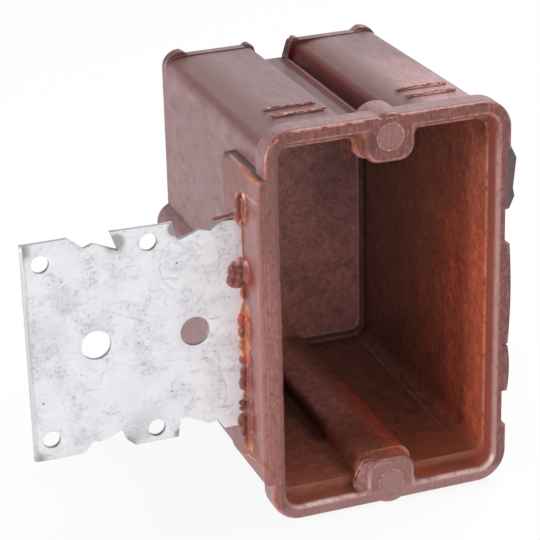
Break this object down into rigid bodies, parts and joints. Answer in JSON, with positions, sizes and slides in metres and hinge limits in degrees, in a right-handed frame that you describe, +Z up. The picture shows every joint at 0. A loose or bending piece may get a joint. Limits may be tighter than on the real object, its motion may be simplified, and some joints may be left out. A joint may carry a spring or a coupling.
{
  "type": "outlet box",
  "caption": "Deep single-gang moulded outlet box with two inward screw bosses and a flat steel side bracket moulded into its left wall.",
  "frame": {"origin": "centre of the front rim face, midway between the two device screw bosses", "axes": "+Y runs back into the box, away from the opening; +Z up along the long side of the rim; the bracket stands out to -X"},
  "size_m": [0.1109, 0.0738, 0.094],
  "materials": {
    "phenolic_moulding": "satin mauve-brown thermoset with mottled filler, worn orange-brown along edges and inside",
    "galvanised_sheet": "dull pale grey zinc coat with fine grey speckle and light scratches"
  },
  "bodies": {
    "root": {"box_body": "phenolic_moulding", "mounting_bracket": "galvanised_sheet"}
  },
  "joints": []
}
